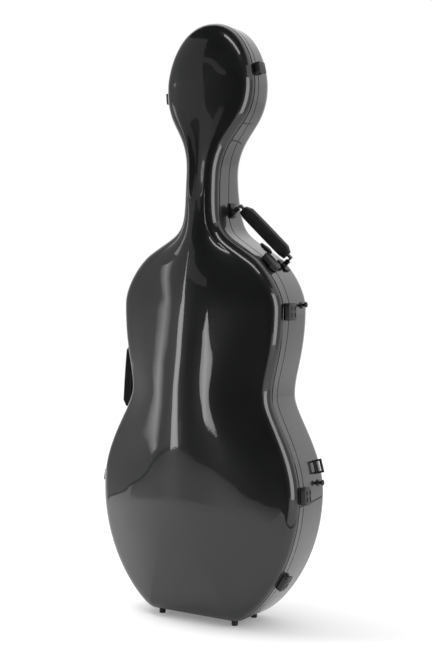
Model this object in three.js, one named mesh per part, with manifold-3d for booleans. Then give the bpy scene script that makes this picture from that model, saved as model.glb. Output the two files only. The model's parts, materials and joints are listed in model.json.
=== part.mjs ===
// Cello hard case, closed and standing on its feet.
// Millimetres. +X is the latch side, +Y the back, +Z up. The lid faces -Y and meets the base at Y = 0.

import * as THREE from 'three';
import { mergeVertices } from 'three/addons/utils/BufferGeometryUtils.js';
import Module from 'manifold-3d';

const wasm = await Module();
wasm.setup();

// Outline of the closing seam: half widths, and how far each station lies above the one below it
const footHeight = 12;
const bottomHalfWidth = 104;
const lowerBoutHalfWidth = 251;
const lowerBoutRise = 282;
const waistHalfWidth = 178;
const waistRise = 220;
const upperBoutHalfWidth = 201;
const upperBoutRise = 190;
const shoulderHalfWidth = 130;
const shoulderRise = 117;
const shoulderSlope = 33.5;
const neckHalfWidth = 41;
const neckRise = 171;
const headHalfWidth = 109;
const headRise = 198;
const crownRise = 140;

// How far each curve leads on from its lower and its upper station, as shares of the way between them
const cornerShares = [0.18, 0.63];
const lowerBoutShares = [0.46, 0.19];
const waistShares = [0.27, 0.55];
const upperBoutShares = [0.37, 0.25];
const shoulderShares = [0.53, 0.8];
const neckShares = [0.5, 0.49];
const crownShares = [0.35, 0.7];

// Facets along each stretch of half the outline, from the bottom up
const facetCounts = {
  bottom: 1, corner: 6, lowerBout: 5, waist: 4, upperBout: 5, shoulder: 5, neck: 6, crown: 8,
};

// Stations above the floor
const lowerBoutHeight = footHeight + lowerBoutRise;
const waistHeight = lowerBoutHeight + waistRise;
const upperBoutHeight = waistHeight + upperBoutRise;
const shoulderHeight = upperBoutHeight + shoulderRise;
const neckHeight = shoulderHeight + neckRise;
const headHeight = neckHeight + headRise;
const caseHeight = headHeight + crownRise;

// Shells: a thin composite skin with a foam and plush lining glued in
const shellWall = 4;
const liningThickness = 6;
const clearance = 0.3;
const rimGap = 1.8;
const sealThickness = 1.2;
const sealInset = 0.5;
const sealWidth = 3;
const liningBelowRim = 3;

// Lid: an upright band round the rim, a small step, a round edge and a domed face
const lidBandDepths = { lowerBout: 19, waist: 22, upperBout: 26, shoulder: 33, neck: 38, head: 16 };
const lidStep = 0.8;
const lidEdgeRadius = 36;
const lidEdgeEndAngle = 62;
const lidCrestDepths = { lowerBout: 118, waist: 122, upperBout: 112, shoulder: 94, neck: 67, head: 60 };

// Base: an upright wall, a round edge and a nearly flat back
const baseEdgeRadius = 32;
const baseEdgeEndAngle = 84;
const baseWallDepths = { lowerBout: 88, waist: 78, upperBout: 73, shoulder: 72, neck: 33, head: 35 };
const baseCrestDepths = { lowerBout: 139, waist: 128, upperBout: 122, shoulder: 104, neck: 76, head: 100 };

// Hinges on the left side share one slanting axis that touches both bouts, just above their widest places
const hinge = { overLowerBout: 10, overUpperBout: 15, length: 26, leafWidth: 29, leafThickness: 3.2,
  barrelRadius: 4.6, pinRadius: 2, pinHead: 1.6, cornerRadius: 3 };
const lowHingeHeight = lowerBoutHeight + hinge.overLowerBout;
const highHingeHeight = upperBoutHeight + hinge.overUpperBout;

// Latches: a keeper on the lid, a plate with two ears on the base, and a lever that closes over both
const mainLatch = { length: 38, front: 18, back: 11, keeperWall: 5, plate: 2.6, barrelRadius: 3,
  earRadius: 2.6, earThickness: 3, pinRadius: 1.4, leverThickness: 3.6, cornerRadius: 6, seamGap: 1.5,
  grooves: true };
const cornerLatch = { ...mainLatch, front: 12, back: 17 };
const upperLatch = { ...mainLatch, front: 23 };
const shoulderLatch = { ...mainLatch, length: 46, cornerRadius: 13, grooves: false };
const headLatch = { ...mainLatch, length: 25, front: 13, back: 16, keeperWall: 4, leverThickness: 4.6,
  cornerRadius: 3.5, grooves: false };
const grooveSize = { width: 4.6, length: 10, depth: 1.6, apart: 14, between: 15 };
const latchRises = { corner: 101, lower: 11, upper: -3, shoulder: -18, head: 38, leftHead: -20 };

// Carrying handles: a padded grip round a bent steel core that swings in two brackets
const handle = { pivotRise: 10, rise: 15, gripThickness: 25, gripDepth: 28, gripSetIn: 13,
  gripEndShare: 0.66, coreThickness: 4, linkRadius: 6, pinRadius: 2.4, earThickness: 3, earRadius: 7.5,
  plateLength: 32, plateWidth: 24, plateThickness: 3 };

// Lower and upper bracket of each handle: how far above its station and how far behind the seam they sit
const shoulderHandle = { rises: [-21, 98], backs: [57, 14] };
const waistHandle = { rises: [-64, 102], backs: [30, 30] };

// Feet, strap posts and strap eyes
const foot = { across: 95, front: 10.5, back: 78, radius: 8, taper: 1, reach: 14 };
const strapPost = { flangeRadius: 7.5, flangeHeight: 2.5, stemRadius: 3.4, headRadius: 6.2, headHeight: 4,
  length: 15 };
const upperStrapPost = { overBout: 10, back: 58 };
const lowerStrapPost = { overBout: 31, back: 70 };
const strapEye = { overBout: 65, back: 74, length: 31, rise: 17, band: 4.4, thickness: 6, flangeWidth: 16,
  flangeThickness: 2.2 };

// Cradle, pads and strap that hold the cello, all in the base
const neckCradle = { underNeck: 7, height: 55, grooveRadius: 17, grooveFloor: 34, front: 3 };
const neckStrap = { width: 30, thickness: 2.4, innerRadius: 17.5, tab: 6.5 };
const lowerPad = { height: 138, inner: 60, front: 22, celloRadius: 222, stretch: 1 };
const lowerCelloDrop = 26;
const shoulderPad = { underShoulder: 86, height: 117, inner: 42, front: 20, celloRadius: 172, stretch: 0.9 };
const upperCelloDrop = 176;
const endpinBlock = { height: 33, halfWidth: 42, front: 24, grooveWidth: 24, grooveFloor: 60 };
const cradleBottom = neckHeight - neckCradle.underNeck - neckCradle.height;
const shoulderPadBottom = shoulderHeight - shoulderPad.underShoulder;

// Bow holders in the lid: a pocket for the tip above and a turning clip by the frog below
const tipPocket = { underShoulder: 31, height: 62, across: 30, width: 30, front: 42, wall: 4 };
const bowClip = { underBout: 89, across: 112, width: 44, length: 26, front: 52, slotWidth: 20, slotDepth: 14,
  postRadius: 3.2, postWall: 6, postDepth: 12, tongueLength: 34, tongueWidth: 12, tongueThickness: 4 };

// Accessory box behind the scroll, with a door hinged along its lower edge
const accessoryBox = { underHead: 78, height: 88, width: 86, front: 46, wall: 3, barrelRadius: 3,
  pinRadius: 1.2, knobLength: 18, knobRise: 4 };

// Round bars under the small radius get fewer sides, and those over the large one more
const smallRadius = 3.5;
const largeRadius = 50;

// Lengths that carry the cutters past the faces they cut
const overrun = 60;
const far = 1500;

// Materials
const finish = (color, roughness, metalness = 0) =>
  new THREE.MeshStandardMaterial({ color, roughness, metalness });
const shellFinish = finish(0x191b1d, 0.12, 0.25);
const plasticFinish = finish(0x26272a, 0.42);
const steelFinish = finish(0x9a9da1, 0.3, 1);
const rubberFinish = finish(0x141414, 0.8);
const plushFinish = finish(0x2b2c30, 0.95);
const padFinish = finish(0x34353a, 0.95);
const webbingFinish = finish(0x17181a, 0.9);
const gripFinish = finish(0x1b1c1e, 0.6);

// Curves and numbers that several parts use

const radians = THREE.MathUtils.degToRad;

// Smooth line through values given at rising heights, level beyond both ends
function valueAt(heights, values, z) {
  if (z <= heights[0]) return values[0];
  const last = heights.length - 1;
  if (z >= heights[last]) return values[last];
  const i = heights.findIndex((height, k) => z < heights[k + 1]);
  const slope = (k) => {
    if (k <= 0 || k >= last) return 0;
    return (values[k + 1] - values[k - 1]) / (heights[k + 1] - heights[k - 1]);
  };
  const span = heights[i + 1] - heights[i];
  const u = (z - heights[i]) / span;
  const rise = values[i + 1] - values[i];
  const a = slope(i) * span - rise;
  const b = rise - slope(i + 1) * span;
  return values[i] + rise * u + u * (1 - u) * (a * (1 - u) + b * u);
}

const stationHeights = [lowerBoutHeight, waistHeight, upperBoutHeight, shoulderHeight, neckHeight, headHeight];
const alongCase = (depths) => (z) => valueAt(stationHeights,
  [depths.lowerBout, depths.waist, depths.upperBout, depths.shoulder, depths.neck, depths.head], z);

// Half the outline, from the middle of the bottom to the middle of the top, with outward normals
function halfOutline() {
  const at = (x, z) => new THREE.Vector2(x, z);
  const corner = (from, to, shares) => {
    const lead = from.clone().lerp(to, shares[0]);
    const trail = to.clone().lerp(from, shares[1]);
    return new THREE.CubicBezierCurve(from, at(lead.x, from.y), at(to.x, trail.y), to);
  };
  const bend = (from, to, shares) => {
    const lead = from.clone().lerp(to, shares[0]);
    const trail = to.clone().lerp(from, shares[1]);
    return new THREE.CubicBezierCurve(from, at(from.x, lead.y), at(to.x, trail.y), to);
  };
  const crown = (from, to, shares) => {
    const lead = from.clone().lerp(to, shares[0]);
    const trail = to.clone().lerp(from, shares[1]);
    return new THREE.CubicBezierCurve(from, at(from.x, lead.y), at(trail.x, to.y), to);
  };
  const middle = at(0, footHeight);
  const bottom = at(bottomHalfWidth, footHeight);
  const lower = at(lowerBoutHalfWidth, lowerBoutHeight);
  const waist = at(waistHalfWidth, waistHeight);
  const upper = at(upperBoutHalfWidth, upperBoutHeight);
  const neck = at(neckHalfWidth, neckHeight);
  const head = at(headHalfWidth, headHeight);
  const top = at(0, caseHeight);
  const shoulder = at(shoulderHalfWidth, shoulderHeight);
  const slope = at(-Math.cos(radians(shoulderSlope)), Math.sin(radians(shoulderSlope)));
  const upBout = at(upper.x, THREE.MathUtils.lerp(upper.y, shoulder.y, upperBoutShares[0]));
  const downSlope = upperBoutShares[1] * shoulder.distanceTo(upper);
  const upSlope = shoulderShares[0] * shoulder.distanceTo(neck);
  const overShoulder = shoulder.clone().addScaledVector(slope, -downSlope);
  const toNeck = shoulder.clone().addScaledVector(slope, upSlope);
  const downNeck = at(neck.x, THREE.MathUtils.lerp(neck.y, shoulder.y, shoulderShares[1]));
  const stretches = [
    [new THREE.LineCurve(middle, bottom), facetCounts.bottom],
    [corner(bottom, lower, cornerShares), facetCounts.corner],
    [bend(lower, waist, lowerBoutShares), facetCounts.lowerBout],
    [bend(waist, upper, waistShares), facetCounts.waist],
    [new THREE.CubicBezierCurve(upper, upBout, overShoulder, shoulder), facetCounts.upperBout],
    [new THREE.CubicBezierCurve(shoulder, toNeck, downNeck, neck), facetCounts.shoulder],
    [bend(neck, head, neckShares), facetCounts.neck],
    [crown(head, top, crownShares), facetCounts.crown],
  ];
  const points = [];
  for (const [curve, count] of stretches) {
    for (let i = 0; i < count; i++) {
      const tangent = curve.getTangentAt(i / count);
      points.push({ at: curve.getPointAt(i / count), out: new THREE.Vector2(tangent.y, -tangent.x) });
    }
  }
  points.push({ at: top, out: new THREE.Vector2(0, 1) });
  return points;
}

const rightOutline = halfOutline();
const leftOutline = rightOutline.slice(1, -1).reverse().map(({ at, out }) => ({
  at: new THREE.Vector2(-at.x, at.y),
  out: new THREE.Vector2(-out.x, out.y),
}));

// Every outline point looks in to the spine, a straight line up the middle from bout to head
const outline = [...rightOutline, ...leftOutline].map(({ at, out }) => ({
  at,
  out,
  spine: new THREE.Vector2(0, THREE.MathUtils.clamp(at.y, lowerBoutHeight, headHeight)),
}));

// Solids

const toSolid = (geometry) => {
  const bare = geometry.clone();
  for (const name of Object.keys(bare.attributes)) if (name !== 'position') bare.deleteAttribute(name);
  const welded = mergeVertices(bare);
  const mesh = new wasm.Mesh({
    numProp: 3,
    vertProperties: new Float32Array(welded.attributes.position.array),
    triVerts: new Uint32Array(welded.index.array),
  });
  return new wasm.Manifold(mesh);
};

const toGeometry = (solid) => {
  const { vertProperties, triVerts } = solid.getMesh();
  const geometry = new THREE.BufferGeometry();
  geometry.setAttribute('position', new THREE.BufferAttribute(vertProperties, 3));
  geometry.setIndex(new THREE.BufferAttribute(triVerts, 1));
  return geometry;
};

const join = (...pieces) => toGeometry(pieces.map(toSolid).reduce((sum, piece) => sum.add(piece)));
const cut = (piece, ...tools) =>
  toGeometry(tools.map(toSolid).reduce((rest, tool) => rest.subtract(tool), toSolid(piece)));
const common = (a, b) => toGeometry(toSolid(a).intersect(toSolid(b)));

// Turns a closed mesh outside out if its volume comes out negative
function facingOut(geometry) {
  const index = geometry.index.array;
  const corner = (k) => new THREE.Vector3().fromBufferAttribute(geometry.attributes.position, index[k]);
  let volume = 0;
  for (let k = 0; k < index.length; k += 3) volume += corner(k).dot(corner(k + 1).cross(corner(k + 2)));
  if (volume < 0) for (let k = 0; k < index.length; k += 3) [index[k], index[k + 1]] = [index[k + 1], index[k]];
  return geometry;
}

// A skin over closed rings of points, one after the other. The first and last rings fold up to a line or
// a point. From the ring numbered turn on, the skin comes back below itself, with its facets split alike.
function skinOver(rings, turn = rings.length) {
  const size = rings[0].length;
  const points = rings.flat();
  const weld = clearance / size;
  const apart = (a, b) => points[a].distanceTo(points[b]) > weld;
  const faces = [];
  const face = (a, b, c) => {
    if (apart(a, b) && apart(b, c) && apart(c, a)) faces.push(a, b, c);
  };
  for (let k = 0; k + 1 < rings.length; k++) {
    for (let i = 0; i < size; i++) {
      const here = k * size + i;
      const beside = k * size + (i + 1) % size;
      if (k < turn) {
        face(here, beside, beside + size);
        face(here, beside + size, here + size);
      } else {
        face(here, beside, here + size);
        face(beside, beside + size, here + size);
      }
    }
  }
  const geometry = new THREE.BufferGeometry().setFromPoints(points);
  geometry.setIndex(faces);
  return facingOut(mergeVertices(geometry));
}

const block = (x0, x1, y0, y1, z0, z1) => new THREE.BoxGeometry(x1 - x0, y1 - y0, z1 - z0)
  .translate((x0 + x1) / 2, (y0 + y1) / 2, (z0 + z1) / 2);

// Round bars along each axis, from one place on it to another, with more sides the thicker they are
const sidesFor = (radius) => {
  if (radius < smallRadius) return 8;
  return radius > largeRadius ? 36 : 12;
};
const bar = (radius, length) => new THREE.CylinderGeometry(radius, radius, length, sidesFor(radius));
const barAlongX = (radius, x0, x1) => bar(radius, x1 - x0).rotateZ(-Math.PI / 2).translate((x0 + x1) / 2, 0, 0);
const barAlongY = (radius, y0, y1) => bar(radius, y1 - y0).translate(0, (y0 + y1) / 2, 0);
const barAlongZ = (radius, z0, z1) => bar(radius, z1 - z0).rotateX(Math.PI / 2).translate(0, 0, (z0 + z1) / 2);

function roundedShape(u0, v0, u1, v1, radius) {
  const shape = new THREE.Shape();
  shape.moveTo(u0 + radius, v0);
  shape.absarc(u1 - radius, v0 + radius, radius, -Math.PI / 2, 0);
  shape.absarc(u1 - radius, v1 - radius, radius, 0, Math.PI / 2);
  shape.absarc(u0 + radius, v1 - radius, radius, Math.PI / 2, Math.PI);
  shape.absarc(u0 + radius, v0 + radius, radius, Math.PI, Math.PI * 1.5);
  return shape;
}

// A plate lying on a wall: rounded corners in Y and Z, thick in X
function plate(x0, x1, y0, y1, z0, z1, radius) {
  const shape = roundedShape(y0, z0, y1, z1, radius);
  const turned = new THREE.Matrix4().makeBasis(
    new THREE.Vector3(0, 1, 0), new THREE.Vector3(0, 0, 1), new THREE.Vector3(1, 0, 0));
  return new THREE.ExtrudeGeometry(shape, { depth: x1 - x0, bevelEnabled: false, curveSegments: 2 })
    .applyMatrix4(turned).translate(x0, 0, 0);
}

const caseGroup = new THREE.Group();

function add(name, geometry, material, parent = caseGroup) {
  const mesh = new THREE.Mesh(geometry, material);
  mesh.name = name;
  parent.add(mesh);
  return mesh;
}

// Shells, seal and linings

const lid = {
  facing: -1,
  step: lidStep,
  wallDepth: alongCase(lidBandDepths),
  edgeRadius: lidEdgeRadius,
  edgeEnd: radians(lidEdgeEndAngle),
  edgeSteps: 3,
  crestDepth: alongCase(lidCrestDepths),
  faceShares: [0.8, 0.6, 0.4, 0.2],
  inside: { edgeSteps: 2, faceShares: [0.66, 0.33] },
};
const base = {
  facing: 1,
  step: 0,
  wallDepth: alongCase(baseWallDepths),
  edgeRadius: baseEdgeRadius,
  edgeEnd: radians(baseEdgeEndAngle),
  edgeSteps: 3,
  crestDepth: alongCase(baseCrestDepths),
  faceShares: [0.67, 0.33],
  inside: { edgeSteps: 2, faceShares: [0.5] },
};

// Rings of one half of the case, from the rim over the round edge and the face in to the spine.
// skin is how deep below the outer surface they lie, and rimDepth how far from the seam they start.
function halfRings(half, skin, rimDepth) {
  const radius = half.edgeRadius - skin;
  const setBack = skin + half.step;
  const ring = (inset, depth) => outline.map(({ at, out }) =>
    new THREE.Vector3(at.x - out.x * inset, half.facing * depth(at.y), at.y - out.y * inset));
  const rings = [ring(skin > 0 ? setBack : skin, () => rimDepth)];
  if (skin <= 0 && half.step > 0) rings.push(ring(skin, (z) => half.wallDepth(z) - half.step));
  rings.push(ring(setBack, half.wallDepth));
  for (let k = 1; k <= half.edgeSteps; k++) {
    const angle = half.edgeEnd * k / half.edgeSteps;
    const inset = setBack + radius * (1 - Math.cos(angle));
    rings.push(ring(inset, (z) => half.wallDepth(z) + radius * Math.sin(angle)));
  }
  const faceInset = setBack + radius * (1 - Math.cos(half.edgeEnd));
  for (const share of [...half.faceShares, 0]) {
    rings.push(outline.map(({ at, out, spine }) => {
      const ray = at.clone().addScaledVector(out, -faceInset).sub(spine);
      const start = half.wallDepth(at.y) + radius * Math.sin(half.edgeEnd);
      const swell = out.dot(ray) / Math.tan(half.edgeEnd) / 2;
      const ridge = half.crestDepth(spine.y) - skin - start - swell;
      const inward = 1 - share * share;
      const depth = start + swell * inward + ridge * inward * inward;
      return new THREE.Vector3(spine.x + ray.x * share, half.facing * depth, spine.y + ray.y * share);
    }));
  }
  return rings;
}

const simpler = (half) => ({ ...half, ...half.inside });
function shell(outside, inside, skin, thickness, rimDepth) {
  const outer = halfRings(outside, skin, rimDepth).reverse();
  return skinOver([...outer, ...halfRings(inside, skin + thickness, rimDepth)], outer.length);
}

// All the room within one half below a skin, closed by a flat face at rimDepth
function room(half, skin, rimDepth) {
  const rings = halfRings(skin > 0 ? simpler(half) : half, skin, rimDepth).reverse();
  const flat = outline.map(({ spine }) => new THREE.Vector3(spine.x, half.facing * rimDepth, spine.y));
  return skinOver([...rings, flat]);
}

const liningSkin = shellWall + clearance;
const roomSkin = liningSkin + liningThickness + clearance;

for (const [name, half] of [['base', base], ['lid', lid]]) {
  const inside = simpler(half);
  add(`${name}_shell`, shell(half, inside, 0, shellWall, rimGap / 2), shellFinish);
  add(`${name}_lining`, shell(inside, inside, liningSkin, liningThickness, liningBelowRim), plushFinish);
}

function rimSeal() {
  const ring = (inset, y) => outline.map(({ at, out }) =>
    new THREE.Vector3(at.x - out.x * inset, y, at.y - out.y * inset));
  const outer = sealInset;
  const inner = sealInset + sealWidth;
  const half = sealThickness / 2;
  return skinOver([
    ring(outer, -half), ring(outer, half), ring(inner, half), ring(inner, -half), ring(outer, -half)]);
}
add('rim_seal', rimSeal(), rubberFinish);

// Seats on the side wall

// A seat just off the right side wall at a height: its point, the wall's outward normal and that normal's
// angle. It clears what the wall bulges within the reach. A given direction replaces the wall's own.
function seatAt(height, reach, direction) {
  const wall = rightOutline.slice(facetCounts.bottom).map(({ at }) => at);
  const facetAt = (z) => Math.max(1, wall.findIndex((point) => point.y > z));
  const pointAt = (z) => {
    const [from, to] = [wall[facetAt(z) - 1], wall[facetAt(z)]];
    return from.clone().lerp(to, (z - from.y) / (to.y - from.y));
  };
  const middle = pointAt(height);
  const lean = wall[facetAt(height)].clone().sub(wall[facetAt(height) - 1]).normalize().y;
  const low = pointAt(height - reach * lean);
  const high = pointAt(height + reach * lean);
  const along = direction ?? high.clone().sub(low).normalize();
  const out = new THREE.Vector2(along.y, -along.x);
  const away = (point, way) => point.clone().sub(middle).dot(way);
  const near = [low, high, ...wall.filter((point) => Math.abs(away(point, along)) <= reach)];
  const bulge = Math.max(0, ...near.map((point) => away(point, out)));
  const seat = middle.clone().addScaledVector(out, bulge + clearance);
  return { seat, out, angle: Math.atan2(out.y, out.x) };
}

// A group whose X points straight out of the wall, Y to the back and Z along the wall
function onWall({ seat, angle }, side, back = 0) {
  const group = new THREE.Group();
  group.position.set(side * seat.x, back, seat.y);
  group.rotation.y = side > 0 ? -angle : Math.PI + angle;
  caseGroup.add(group);
  return group;
}

// Hinges

// The shared axis, given on the right side and mirrored to the left. A few rounds settle it on both seats.
const hingeReach = hinge.length / 2;
let hingeLine;
for (let round = 0; round < 5; round++) {
  const low = seatAt(lowHingeHeight, hingeReach, hingeLine).seat;
  hingeLine = seatAt(highHingeHeight, hingeReach, hingeLine).seat.sub(low).normalize();
}

function hingeSet(name, height) {
  const group = onWall(seatAt(height, hingeReach, hingeLine), -1);
  const { length, leafWidth, leafThickness, barrelRadius, pinRadius, pinHead, cornerRadius } = hinge;
  const end = length / 2;
  const third = length / 6;
  const half = clearance / 2;
  const rounding = barrelRadius + clearance;
  const onAxis = (geometry) => geometry.translate(barrelRadius, 0, 0);
  const leaf = plate(0, leafThickness, -leafWidth, leafWidth, -end, end, cornerRadius);

  const backLeaf = cut(leaf, block(-overrun, overrun, -overrun, 0, -overrun, overrun),
    block(-overrun, overrun, -overrun, rounding, -third - half, third + half));
  const knuckles = cut(barAlongZ(barrelRadius, -end, end),
    block(-overrun, overrun, -overrun, overrun, -third - half, third + half));
  const pin = barAlongZ(pinRadius, -end - pinHead, end + pinHead);
  add(`${name}_hinge_base_leaf`, join(backLeaf, onAxis(knuckles), onAxis(pin)), steelFinish, group);

  const frontLeaf = cut(leaf, block(-overrun, overrun, 0, overrun, -overrun, overrun),
    block(-overrun, overrun, -rounding, overrun, third - half, overrun),
    block(-overrun, overrun, -rounding, overrun, -overrun, half - third));
  const knuckle = barAlongZ(barrelRadius, half - third, third - half);
  const bore = barAlongZ(pinRadius + clearance, -overrun, overrun);
  add(`${name}_hinge_lid_leaf`, cut(join(frontLeaf, onAxis(knuckle)), onAxis(bore)), steelFinish, group);
}
hingeSet('upper', highHingeHeight);
hingeSet('lower', lowHingeHeight);

// Latches

// Four finger grooves in a lever's face
function leverGrooves(top, middle) {
  const { width, length, depth, apart, between } = grooveSize;
  const groove = block(-depth, overrun, -width / 2, width / 2, -length / 2, length / 2);
  return [-1, 1].flatMap((way) => [-1, 1].map((along) =>
    groove.clone().translate(top, middle + way * between / 2, along * apart / 2)));
}

function latch(name, size, side, height) {
  const { length, front, back, keeperWall, barrelRadius, earRadius, earThickness, pinRadius, seamGap } = size;
  const group = onWall(seatAt(height, length / 2), side);
  const end = length / 2;
  const pivotOut = size.plate + clearance + barrelRadius;
  const pivotBack = back - barrelRadius;
  const under = pivotOut + earRadius + clearance;
  const top = under + size.leverThickness;
  const ears = end - size.cornerRadius * 0.85;
  const atPivot = (geometry) => geometry.translate(pivotOut, pivotBack, 0);
  const cover = plate(0, top, -front, back, -end, end, size.cornerRadius);

  const keeper = join(
    block(0, size.plate, -front, -seamGap, -end, end),
    block(0, top, -front, -front + keeperWall, -end, end));
  add(`${name}_latch_keeper`, common(keeper, cover), plasticFinish, group);

  const ear = (z) => join(
    barAlongZ(earRadius, z, z + earThickness).translate(pivotOut, pivotBack, 0),
    block(0, pivotOut, pivotBack - earRadius, pivotBack + earRadius, z, z + earThickness));
  const body = common(block(0, size.plate, seamGap, back, -end, end), cover);
  const pin = atPivot(barAlongZ(pinRadius, -ears, ears));
  add(`${name}_latch_plate`, join(body, ear(ears - earThickness), ear(-ears), pin), plasticFinish, group);

  const inner = ears - earThickness - clearance;
  const face = common(cover, block(under, overrun, -front + keeperWall + clearance, back, -end, end));
  const web = block(pivotOut, under + size.leverThickness / 2, pivotBack - barrelRadius, back, -inner, inner);
  const lever = join(face, web, atPivot(barAlongZ(barrelRadius, -inner, inner)));
  const bore = atPivot(barAlongZ(pinRadius + clearance, -overrun, overrun));
  const grooves = size.grooves ? leverGrooves(top, (back - front + keeperWall) / 2) : [];
  add(`${name}_latch_lever`, cut(lever, bore, ...grooves), plasticFinish, group);
}
latch('corner', cornerLatch, 1, footHeight + latchRises.corner);
latch('lower', mainLatch, 1, lowerBoutHeight + latchRises.lower);
latch('upper', upperLatch, 1, upperBoutHeight + latchRises.upper);
latch('shoulder', shoulderLatch, 1, shoulderHeight + latchRises.shoulder);
latch('head', headLatch, 1, headHeight + latchRises.head);
latch('left_head', headLatch, -1, headHeight + latchRises.leftHead);

// Carrying handles

// The group's Z runs from pivot to pivot. It leans towards the back as the brackets do.
function handleSet(name, side, station, { rises, backs }) {
  const { pivotRise, rise, gripThickness, gripDepth, gripSetIn, coreThickness, linkRadius } = handle;
  const { pinRadius, earThickness, earRadius, plateLength, plateWidth, plateThickness, gripEndShare } = handle;
  const seats = rises.map((above) => seatAt(station + above, plateLength / 2));
  const pivots = seats.map(({ seat, out }) => seat.clone().addScaledVector(out, pivotRise));
  const along = pivots[1].clone().sub(pivots[0]);
  const angle = Math.atan2(-along.x, along.y);
  const lean = side * Math.atan2(backs[1] - backs[0], along.length());
  const middleBack = (backs[0] + backs[1]) / 2;
  const group = onWall({ seat: pivots[0].clone().lerp(pivots[1], 0.5), angle }, side, middleBack);
  group.rotation.set(-lean, group.rotation.y, 0, 'YXZ');
  const span = along.length() / Math.cos(lean) / 2;
  const half = coreThickness / 2;
  const ends = [-span * side, span * side];

  seats.forEach((seat, k) => {
    const z = ends[k];
    const onSeat = (geometry) =>
      geometry.rotateY(side * (angle - seat.angle)).rotateX(lean).translate(0, 0, z);
    const ear = (from) => join(
      barAlongZ(earRadius, z + from, z + from + earThickness),
      block(-overrun, 0, -earRadius, earRadius, z + from, z + from + earThickness));
    const fork = join(ear(half + clearance), ear(-half - clearance - earThickness),
      barAlongZ(pinRadius, z - half - earThickness, z + half + earThickness));
    const wall = onSeat(block(-overrun * 2, -pivotRise, -overrun, overrun, -overrun, overrun));
    const foot = onSeat(plate(-pivotRise, plateThickness - pivotRise, -plateWidth / 2, plateWidth / 2,
      -plateLength / 2, plateLength / 2, plateThickness));
    const place = k === 0 ? 'lower' : 'upper';
    add(`${name}_handle_${place}_bracket`, join(cut(fork, wall), foot), steelFinish, group);
  });

  const core = (gap) => {
    const link = (z) => join(
      barAlongZ(linkRadius + gap, z - half - gap, z + half + gap),
      block(0, rise + half + gap, -linkRadius - gap, linkRadius + gap, z - half - gap, z + half + gap));
    const strip = block(rise - half - gap, rise + half + gap, -linkRadius - gap, linkRadius + gap, -span, span);
    return join(link(ends[0]), link(ends[1]), strip);
  };
  const bore = barAlongZ(pinRadius + clearance, -span - overrun, span + overrun);
  add(`${name}_handle_core`, cut(core(0), bore), steelFinish, group);

  const section = (z, share) => {
    const [thickness, depth] = [gripThickness * share, gripDepth * share];
    const shape = roundedShape(-thickness / 2, -depth / 2, thickness / 2, depth / 2, thickness / 3);
    const middle = rise - (gripThickness - thickness) / 4;
    return shape.getPoints(2).slice(0, -1).map(({ x, y }) => new THREE.Vector3(middle + x, y, z));
  };
  const nose = (z) => section(z, 1).map(() => new THREE.Vector3(rise - gripThickness / 8, 0, z));
  const last = span - gripSetIn;
  const shoulder = last - gripThickness / 2;
  const rings = [nose(-last), section(-last, gripEndShare), section(-shoulder, 1), section(shoulder, 1),
    section(last, gripEndShare), nose(last)];
  add(`${name}_handle_grip`, cut(skinOver(rings), core(clearance)), gripFinish, group);
}
handleSet('shoulder', 1, shoulderHeight, shoulderHandle);
handleSet('waist', -1, waistHeight, waistHandle);

// Feet, strap posts and strap eyes

const footSides = 16;
const aboveLid = room(lid, -clearance, 0);
const aboveBase = room(base, -clearance, 0);

for (const [way, side] of [['left', -1], ['right', 1]]) {
  const footAt = (y, above) => {
    const length = footHeight + foot.reach;
    const stub = new THREE.CylinderGeometry(foot.radius, foot.radius - foot.taper, length, footSides)
      .rotateX(Math.PI / 2).translate(side * foot.across, y, length / 2);
    return cut(stub, above);
  };
  add(`lid_foot_${way}`, footAt(-foot.front, aboveLid), rubberFinish);
  add(`base_foot_${way}`, footAt(foot.back, aboveBase), rubberFinish);

  const post = join(
    barAlongX(strapPost.flangeRadius, 0, strapPost.flangeHeight),
    barAlongX(strapPost.stemRadius, 0, strapPost.length),
    barAlongX(strapPost.headRadius, strapPost.length - strapPost.headHeight, strapPost.length));
  const upperSeat = seatAt(upperBoutHeight + upperStrapPost.overBout, strapPost.flangeRadius);
  add(`upper_strap_post_${way}`, post, steelFinish, onWall(upperSeat, side, upperStrapPost.back));
  const lowerSeat = seatAt(lowerBoutHeight + lowerStrapPost.overBout, strapPost.flangeRadius);
  add(`lower_strap_post_${way}`, post.clone(), steelFinish, onWall(lowerSeat, side, lowerStrapPost.back));

  const { overBout, back, length, rise, band, thickness, flangeWidth, flangeThickness } = strapEye;
  const loop = cut(
    join(block(0, rise, -thickness / 2, thickness / 2, -length / 2, length / 2),
      block(0, flangeThickness, -flangeWidth / 2, flangeWidth / 2, -length / 2, length / 2)),
    block(band, rise - band, -overrun, overrun, band - length / 2, length / 2 - band));
  const eyeSeat = seatAt(lowerBoutHeight + overBout, length / 2);
  add(`strap_eye_${way}`, loop, steelFinish, onWall(eyeSeat, side, back));
}

// Cradle, neck strap, pads and endpin block

const inBase = room(base, roomSkin, liningBelowRim);
const inLid = room(lid, roomSkin, liningBelowRim);

function cradle() {
  const { height, grooveRadius, grooveFloor, front } = neckCradle;
  const middle = grooveFloor - grooveRadius;
  const groove = join(
    barAlongZ(grooveRadius, -far, far).translate(0, middle, 0),
    block(-grooveRadius, grooveRadius, -far, middle, -far, far));
  return cut(common(inBase, block(-far, far, front, far, cradleBottom, cradleBottom + height)), groove);
}
add('neck_cradle', cradle(), padFinish);

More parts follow.
